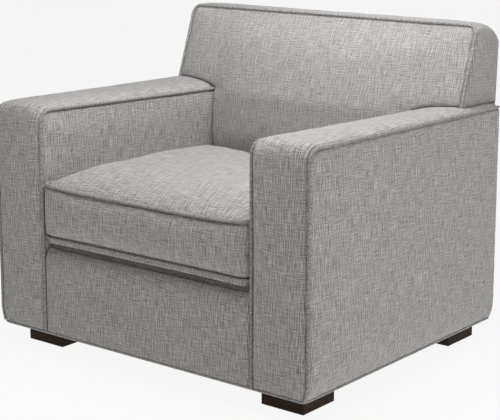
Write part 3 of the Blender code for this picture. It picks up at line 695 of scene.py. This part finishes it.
def back_surface(x, depth, z):
    """A lattice point of the back moved to its place, without seams, the edge's outward direction
    there, and the distance from the edge along the face. depth is from 0 to BACK_DEPTH."""
    past_x, past_z = abs(x) - (BACK_SIDE_X - BACK_CORNER), z - (BACK_TOP_Z - BACK_CORNER)
    across = Vector((0, 0, 1))
    if abs(x) > BACK_SIDE_X - EPS:
        across = Vector((math.copysign(1, x), 0, 0))
    to_edge = min(BACK_SIDE_X - abs(x), BACK_TOP_Z - z)
    if past_x > 0 and past_z > 0:
        across = Vector((math.copysign(past_x, x), 0, past_z)).normalized()
        to_edge = BACK_CORNER - max(past_x, past_z)
        share = max(past_x, past_z) / math.hypot(past_x, past_z)
        x = math.copysign(BACK_SIDE_X - BACK_CORNER + past_x * share, x)
        z = BACK_TOP_Z - BACK_CORNER + past_z * share
    share = depth / BACK_DEPTH
    fullness = smooth_ramp(z, 0.39, 0.47) * (1 - smooth_ramp(z, 0.70, BACK_TOP_Z))
    front = back_edge_y(z) - BACK_CROWN * fullness * (1 - (x / BACK_SIDE_X) ** 2)
    rear = outside_back_y(min(z, REAR_BEND_Z)) - BACK_COVER_GAP
    y = front + (rear - front) * share
    out = max(0.0, abs(x) - SEAT_HALF_WIDTH)
    near = 1.0 if out > 0 else math.exp(-(((abs(x) - SEAT_HALF_WIDTH) / 0.03) ** 2))
    if z >= WING_Z - EPS:
        lift = (BACK_TOP_Z - z) / (BACK_TOP_Z - WING_Z)
    else:
        lift = math.exp(-(((z - WING_Z) / 0.03) ** 2))
    z += (wing_floor(x, y) - WING_Z) * lift * near
    upper = max(0.0, (z - 0.69) / (BACK_TOP_Z - 0.69))
    curve = 1 - math.sqrt(max(0.0, 1 - share**4))
    fall = (BACK_TOP_Z - REAR_BEND_Z) * (0.18 * share + 0.82 * curve)
    z -= fall * upper**2
    return Vector((x, y, z)), across, to_edge


def on_wing(z):
    return z > WING_Z - EPS


def tuck_distance(x, z):
    """Distance along the back's face from the edges that are tucked in beside and over the arms."""
    beside, over = SEAT_HALF_WIDTH - abs(x), z - WING_Z
    if beside < 0:
        return over
    if over < 0:
        return beside
    return math.hypot(beside, over)


def back_place(x, depth, z):
    """A lattice point of the back moved to its place."""
    point, across, to_edge = back_surface(x, depth, z)
    if depth < EPS and on_wing(z):
        point.y += groove(to_edge)
    if depth < EPS:
        point.y += rolled(tuck_distance(x, z), 0.016)
    elif to_edge < EPS and abs(x) > SEAT_HALF_WIDTH:
        point.x -= math.copysign(rolled(z - WING_Z, 0.007), x)
    if to_edge < EPS and on_wing(z):
        share = depth / BACK_DEPTH
        point += across * (0.003 * math.sin(math.pi * min(1, share * 1.15)) - groove(depth))
    return point


def make_back():
    side, stem = BACK_SIDE_X, SEAT_HALF_WIDTH
    xs = spaced(-side, -stem)[:-1] + spaced(-stem, stem)[:-1] + spaced(stem, side)
    zs = spaced(DECK_Z + 0.0008, WING_Z)[:-1] + spaced(WING_Z, BACK_TOP_Z)
    depths = spaced(0, BACK_DEPTH)

    def filled(x, depth, z):
        return (np.abs(x) < stem) | (z > WING_Z)

    nominal, faces = lattice_shell(xs, depths, zs, filled)
    points, pinned = [], []
    for x, depth, z in nominal:
        _, _, to_edge = back_surface(x, depth, z)
        points.append(back_place(x, depth, z))
        welted = min(depth, to_edge) < EPS and max(depth, to_edge) < IN_GROOVE and on_wing(z)
        tucked_in = abs(x) > stem - EPS and z < WING_Z + EPS
        hidden = depth > BACK_DEPTH - EPS or z < DECK_Z + 0.001
        pinned.append(1.0 if welted or tucked_in or hidden else 0.0)
    obj = new_object("back_cover", points, faces)
    inflate(obj, pinned, 2.0, 0.0035, 0.004, stiffness=18)
    replaced = ["inside_back_panel", "back_pad", "back_band"]
    finished(obj, BACK_COVER_PAINTED_LIGHT, "chair_frame", replaced)
    make_back_piping()
    make_outside_back()


def make_back_piping():
    """The piping round the face of the T, up one wing and down the other."""
    corner_z = BACK_TOP_Z - BACK_CORNER
    half = [(-BACK_SIDE_X, z) for z in np.linspace(WING_Z, corner_z, 40)]
    for angle in np.linspace(0, math.pi / 2, 14)[1:-1]:
        reach = BACK_CORNER / max(math.cos(angle), math.sin(angle))
        x = -BACK_SIDE_X + BACK_CORNER - reach * math.cos(angle)
        half.append((x, corner_z + reach * math.sin(angle)))
    half += [(x, BACK_TOP_Z) for x in np.linspace(-BACK_SIDE_X + BACK_CORNER, 0, 60)]
    nominal = half + [(-x, z) for x, z in reversed(half[:-1])]
    path = []
    for x, z in nominal:
        point, across, _ = back_surface(x, 0, z)
        path.append(point - across * PIPING_INSET + Vector((0, PIPING_INSET, 0)))
    welt = tube("back_piping", resampled(path, 0.005), PIPING)
    finished(welt, PIPING_PAINTED_SHADE, "chair_frame", ["back_welt"], levels=0)


def make_outside_back():
    """The panel that closes the back, drawn over thin padding and turned in against the arms."""
    side, fold, wing = BACK_SIDE_X, BACK_SIDE_X - 0.003, WING_Z - 0.001
    xs = [-side] + spaced(-fold, fold, 2 * STEP) + [side]
    zs = spaced(COVER_BASE_Z, wing, 2 * STEP)[:-1] + spaced(wing, REAR_BEND_Z, 2 * STEP)

    def filled(x, y, z):
        return (y > 0) | ((abs(x) > fold) & (z < wing))

    nominal, faces = lattice_shell(xs, [-0.003, 0.0, 0.003], zs, filled)
    points = []
    for x, y, z in nominal:
        edge = min(side - abs(x), z - COVER_BASE_Z, REAR_BEND_Z - z)
        place = outside_back_y(z) - 0.003 + y
        if y > 0.001:
            padding = 0.004 * smooth_ramp(edge, 0, 0.12)
            place += padding - 0.0015 * math.exp(-((edge / 0.004) ** 2))
            place += unevenness((x, 0, z), 0.11, 0.0012) * smooth_ramp(edge, 0, 0.03)
        if y < -0.001:
            place = ARM_REAR_Y + 0.0003
        points.append((x, place, z))
    obj = new_object("outside_back_cover", points, faces)
    finished(obj, COVER, "chair_frame", ["outside_back_panel"])


# Seat base


def make_seat_base():
    """The front rail's padding and panel, and the deck under the cushion, as one cover."""
    half = SEAT_HALF_WIDTH
    rail_rear = FRONT_Y + 0.0223
    deck_low = 0.260
    seam_y = FRONT_Y + 0.078
    ys = spaced(FRONT_Y, rail_rear, edge=(0.004,))[:-1] + [rail_rear, rail_rear + 0.006]
    ys += spaced(rail_rear + 0.006, seam_y, edge=(0.004,))[1:-1] + spaced(seam_y, DECK_REAR_Y)
    zs = spaced(COVER_BASE_Z, deck_low)[:-1] + spaced(deck_low, DECK_Z, 0.006, (0.004,))
    nominal, faces = lattice_shell(
        spaced(-half, half), ys, zs, lambda x, y, z: (y < rail_rear) | (z > deck_low)
    )
    radius = 0.056
    front_sink = 0.003
    points, pinned = [], []
    for x, y, z in nominal:
        point = Vector((x, y, z))
        past_y, past_z = FRONT_Y + radius - y, z - (DECK_Z - radius)
        to_side = half - abs(x)
        if past_y > 0 and past_z > 0:
            share = max(past_y, past_z) / math.hypot(past_y, past_z)
            point.y = FRONT_Y + radius - past_y * share
            point.z = DECK_Z - radius + past_z * share
        if y < FRONT_Y + EPS:
            full = smooth_ramp(to_side, 0, 0.06) * smooth_ramp(z, COVER_BASE_Z, COVER_BASE_Z + 0.05)
            point.y += rolled(to_side, 0.006) - 0.0020 * full
        if z > DECK_Z - EPS:
            point.z -= 0.0016 * math.exp(-(((y - seam_y) / 0.004) ** 2))
            point.z -= front_sink * (1 - smooth_ramp(y, seam_y - 0.010, seam_y + 0.050))
        points.append(point)
        edge = to_side < EPS or z < COVER_BASE_Z + EPS or y > DECK_REAR_Y - EPS
        inside = FRONT_Y + EPS < y and z < DECK_Z - EPS
        pinned.append(1.0 if edge or inside or abs(y - seam_y) < EPS else 0.0)
    obj = new_object("seat_base_cover", points, faces)
    inflate(obj, pinned, 1.0, 0.0008, 0.004, stiffness=20)
    obj.data.materials.append(COVER)
    obj.data.materials.append(DECKING)
    for polygon in obj.data.polygons:
        polygon.material_index = 1 if polygon.center.y > seam_y and polygon.center.z > 0.24 else 0
    subdivision = obj.modifiers.new("subdivision", "SUBSURF")
    subdivision.levels = subdivision.render_levels = 1
    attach(obj, "chair_frame")
    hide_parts("front_rail_panel", "front_rail_pad", "deck_pad", "deck_cloth")


def base_ring(inset, radius=0.010, steps=6):
    """The outline of the chair's base from above, along the welt."""
    side = HALF_WIDTH - ARM_TUCK - inset
    front, rear = FRONT_Y + inset, outside_back_y(COVER_BASE_Z) - inset
    corners = [(side, front, -90), (side, rear, 0), (-side, rear, 90), (-side, front, 180)]
    path = []
    for x, y, start in corners:
        cx, cy = x - math.copysign(radius, x), y - math.copysign(radius, y)
        for step in range(steps + 1):
            angle = math.radians(start + 90 * step / steps)
            path.append((cx + radius * math.cos(angle), cy + radius * math.sin(angle)))
    return path


def make_base_piping():
    z = BASE_WELT_Z + 0.0033
    path = [(x, y, z) for x, y in base_ring(0.0022)]
    welt = tube("base_piping", resampled(path, 0.006, closed=True), BASE_PIPING, closed=True)
    finished(welt, PIPING_PAINTED_SHADE, "chair_frame", ["base_welt"], levels=0)


def make_underside():
    """The thin black cloth under the chair, which sags a little between the rails."""
    low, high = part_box("dust_cover")
    inset = ARM_TUCK + 0.003
    xs = spaced(low.x + inset, high.x - inset, 0.03)
    ys = spaced(low.y + 0.003, high.y - 0.003, 0.03)
    nominal, faces = lattice_shell(xs, ys, [0.0, 0.001], lambda x, y, z: x < 9)
    points = []
    for x, y, z in nominal:
        edge = min(high.x - inset - abs(x), y - low.y, high.y - y)
        sag = 0.0035 * smooth_ramp(edge, 0.17, 0.30)
        waves = unevenness((x, y, 0), 0.05, 0.0008) * smooth_ramp(edge, 0.15, 0.25)
        points.append((x, y, low.z + z - sag + waves))
    cloth = new_object("underside_cloth", points, faces)
    finished(cloth, LINING, "chair_frame", ["dust_cover"])


# Seat cushion


def cushion_outline(x, y):
    """A lattice point moved to the cushion's plan; the outward direction and the distance to the
    edge there; its shares of the way to a side, to the front or rear, and to a corner; and how far
    the side pulls in."""
    half_x = CUSHION_HIGH.x
    middle_y = (CUSHION_LOW.y + CUSHION_HIGH.y) / 2
    half_y = (CUSHION_HIGH.y - CUSHION_LOW.y) / 2
    past_x = abs(x) - (half_x - CUSHION_CORNER)
    past_y = abs(y - middle_y) - (half_y - CUSHION_CORNER)
    to_edge = min(half_x - abs(x), half_y - abs(y - middle_y))
    px, py = x, y - middle_y
    way = Vector((math.copysign(1, x), 0, 0))
    if half_y - abs(y - middle_y) < half_x - abs(x):
        way = Vector((0, math.copysign(1, py), 0))
    if past_x > 0 and past_y > 0:
        way = Vector((math.copysign(past_x, x), math.copysign(past_y, py), 0)).normalized()
        to_edge = CUSHION_CORNER - max(past_x, past_y)
        share = max(past_x, past_y) / math.hypot(past_x, past_y)
        px = math.copysign(half_x - CUSHION_CORNER + past_x * share, px)
        py = math.copysign(half_y - CUSHION_CORNER + past_y * share, py)
    across, along = min(1, abs(x) / half_x), min(1, abs(y - middle_y) / half_y)
    ear = (across * along) ** 5
    waist = CUSHION_WAIST * (1 - ear)
    return Vector((px, middle_y + py, 0)), way, to_edge, across, along, ear, waist


def cushion_seam(x, y, z):
    """A point of a seam, at the cushion's edge."""
    place, way, _, _, _, ear, waist = cushion_outline(x, y)
    lift = EAR * ear if z > CUSHION_LOWER_SEAM_Z + EPS else -LOWER_EAR * ear
    point = place - way * waist * (0.4 if abs(way.x) > 0.7 else 1.0)
    return Vector((point.x, point.y, z + lift)), way


def shoulder(distance):
    """Share of the cushion's crown this far in from one of its edges."""
    return 1 - (1 - min(1.0, distance / CUSHION_SHOULDER)) ** 4


def cushion_place(x, y, z):
    """A lattice point of the cushion moved to its place."""
    place, way, to_edge, across, along, ear, waist = cushion_outline(x, y)
    low, high = CUSHION_LOWER_SEAM_Z, CUSHION_UPPER_SEAM_Z
    up = (z - low) / (high - low)
    sideways = waist * (0.4 if abs(way.x) > 0.7 else 1.0)
    point = place - way * sideways * math.exp(-((to_edge / 0.10) ** 2))
    point.z = z
    if to_edge < EPS:
        bulge = math.sin(math.pi * up) ** 0.7 if 0 < up < 1 else 0.0
        front = 0.009 if way.y < -0.5 else 0.0035
        out = front * bulge * (1 - 0.75 * ear)
        out -= groove((1 - up) * (high - low))
        out -= groove(up * (high - low))
        point += way * out
    if up > 1 - EPS:
        half_x, half_y = CUSHION_HIGH.x, (CUSHION_HIGH.y - CUSHION_LOW.y) / 2
        crown = shoulder(half_x * (1 - across)) * shoulder(half_y * (1 - along))
        crown *= 1 - REAR_FALL * smooth_ramp(y, -0.10, CUSHION_HIGH.y)
        point.z += CUSHION_CROWN * crown + EAR * ear - groove(to_edge)
    elif up < EPS:
        droop = CUSHION_DROOP * math.exp(-((to_edge / 0.014) ** 2)) if way.y < -0.5 else 0.0
        below = (low - CUSHION_BASE_Z + droop) * smooth_ramp(to_edge, 0, 0.007)
        point.z -= below + LOWER_EAR * ear
    else:
        point.z += EAR * ear * max(0.0, up - 0.5) * 2
    return point


def make_cushion():
    half = CUSHION_HIGH.x
    xs = spaced(-half, half, 0.0095)
    ys = spaced(CUSHION_LOW.y, CUSHION_HIGH.y, 0.0095)
    zs = spaced(CUSHION_LOWER_SEAM_Z, CUSHION_UPPER_SEAM_Z, 0.0095)
    nominal, faces = lattice_shell(xs, ys, zs, lambda x, y, z: z > 0)
    points, pinned = [], []
    for x, y, z in nominal:
        _, _, to_edge, *_ = cushion_outline(x, y)
        points.append(cushion_place(x, y, z))
        to_seam = min(z - CUSHION_LOWER_SEAM_Z, CUSHION_UPPER_SEAM_Z - z)
        seam = min(to_edge, to_seam) < EPS and max(to_edge, to_seam) < IN_GROOVE
        resting = z < CUSHION_LOWER_SEAM_Z + EPS and to_edge > 0.02
        pinned.append(1.0 if seam or resting else 0.0)
    obj = new_object("seat_cushion_cover", points, faces)
    inflate(obj, pinned, 2.5, 0.005, 0.006)
    keep_clear(obj)
    replaced = ["cushion_core", "cushion_boxing", "cushion_top_panel", "cushion_bottom_panel"]
    finished(obj, COVER, "seat_cushion", replaced)
    for which, z in (("top", CUSHION_UPPER_SEAM_Z), ("bottom", CUSHION_LOWER_SEAM_Z)):
        path = []
        for x, y in plan_edge(xs, ys):
            point, way = cushion_seam(x, y, z)
            path.append(point - way * (PIPING - 0.0014))
        path = resampled(path, 0.005, closed=True)
        welt = tube(f"cushion_{which}_piping", path, PIPING, closed=True)
        node = f"cushion_{which}_welt"
        finished(welt, PIPING_PAINTED_SHADE, "seat_cushion", [node], levels=0)


def keep_clear(obj):
    """The cushion's sides lie against the arms and the back, and stay out of them."""
    place = positions(obj.data)
    place[:, 0] = np.clip(place[:, 0], -CUSHION_HIGH.x - 0.0003, CUSHION_HIGH.x + 0.0003)
    place[:, 1] = np.minimum(place[:, 1], CUSHION_HIGH.y)
    overhang = place[:, 1] < FRONT_Y + CUSHION_OVERHANG
    lowest = np.where(overhang, CUSHION_BASE_Z - 0.007, CUSHION_BASE_Z)
    place[:, 2] = np.maximum(place[:, 2], lowest)
    obj.data.vertices.foreach_set("co", place.ravel())


def plan_edge(xs, ys):
    """The lattice points round the edge of a plan, anticlockwise."""
    path = [(x, ys[0]) for x in xs] + [(xs[-1], y) for y in ys[1:]]
    path += [(x, ys[-1]) for x in reversed(xs[:-1])] + [(xs[0], y) for y in reversed(ys[1:-1])]
    return path


# Camera, lights and floor

CAMERA_PLACE = (2.2000, -2.7494, 1.1524)
CAMERA_DOWN = 0.1970
CAMERA_ROUND = 0.6736
LENS = 106.3
SHIFT = (-0.006, -0.10)

# The backdrop's grey, the floor's grey, and the light that the floor gives to the chair and shows
# to the camera
BACKDROP = 0.939
FLOOR = 0.06
FLOOR_GLOW = 0.84
FLOOR_SEEN = 0.915

# Each lamp's name, place, the point it is turned to, width and height, and power
LAMPS = (
    ("overhead", (0.45, 0.0, 2.1), (0.1, 0.05, 0.4), (1.5, 1.3), 20.0),
    ("close_overhead", (0.15, -0.15, 1.5), (0.1, -0.05, 0.4), (0.6, 0.6), 5.2),
    ("close_front", (0.1, -0.75, 1.6), (0, 0.2, 0.55), (0.8, 0.6), 5.4),
    ("side_low", (2.8, -0.2, 0.5), (0, 0, 0.3), (1.6, 0.9), 17.5),
    ("front", (-1.6, -3.0, 1.3), (0, 0, 0.3), (1.8, 1.8), 4.5),
    ("left_fill", (-3.2, 0.4, 1.5), (0, 0, 0.35), (1.6, 1.6), 7.0),
    ("rear_fill", (-0.4, 3.4, 1.7), (0, 0.2, 0.35), (1.8, 1.6), 8.0),
)


def make_camera():
    data = bpy.data.cameras.new("camera")
    data.sensor_width = 36.0
    data.lens = LENS
    data.shift_x, data.shift_y = SHIFT
    data.clip_start, data.clip_end = 0.05, 60.0
    camera = bpy.data.objects.new("camera", data)
    camera.location = CAMERA_PLACE
    camera.rotation_euler = (math.pi / 2 - CAMERA_DOWN, 0, CAMERA_ROUND)
    bpy.context.scene.collection.objects.link(camera)
    bpy.context.scene.camera = camera


def area_light(name, place, target, size, power):
    data = bpy.data.lights.new(name, "AREA")
    data.shape = "RECTANGLE"
    data.size, data.size_y = size
    data.energy = power
    lamp = bpy.data.objects.new(name, data)
    lamp.location = place
    lamp.rotation_euler = (Vector(target) - Vector(place)).to_track_quat("-Z", "Y").to_euler()
    bpy.context.scene.collection.objects.link(lamp)


def seen_directly(tree):
    """1 for what the camera sees of the floor and the backdrop, 0 for the light they give."""
    return tree.nodes.new("ShaderNodeLightPath").outputs["Is Camera Ray"]


def make_backdrop():
    world = bpy.data.worlds.new("studio")
    world.use_nodes = True
    tree = world.node_tree
    background = tree.nodes["Background"]
    background.inputs["Color"].default_value = (BACKDROP, BACKDROP, BACKDROP, 1.0)
    tree.links.new(seen_directly(tree), background.inputs["Strength"])
    bpy.context.scene.world = world
    bpy.context.scene.view_settings.view_transform = "Standard"


def make_floor():
    look, tree, shader = start_material("pale_floor")
    shader.inputs["Base Color"].default_value = (FLOOR, FLOOR, FLOOR, 1.0)
    shader.inputs["Roughness"].default_value = 0.9
    shader.inputs["Specular IOR Level"].default_value = 0.0
    shader.inputs["Emission Color"].default_value = (1.0, 1.0, 1.0, 1.0)
    more = FLOOR_SEEN - FLOOR_GLOW
    glow = math_node(tree, "MULTIPLY_ADD", seen_directly(tree), more, FLOOR_GLOW)
    tree.links.new(glow, shader.inputs["Emission Strength"])
    bm = bmesh.new()
    bmesh.ops.create_circle(bm, cap_ends=True, segments=96, radius=14.0)
    mesh = bpy.data.meshes.new("floor")
    bm.to_mesh(mesh)
    bm.free()
    mesh.materials.append(look)
    floor = bpy.data.objects.new("floor", mesh)
    floor.location.z = -0.0005
    bpy.context.scene.collection.objects.link(floor)


def main():
    make_camera()
    make_backdrop()
    make_floor()
    for lamp in LAMPS:
        area_light(*lamp)
    dress_cad_nodes()
    for name, side in (("left", -1), ("right", 1)):
        make_arm(name, side)
    make_back()
    make_seat_base()
    make_base_piping()
    make_underside()
    make_cushion()


main()
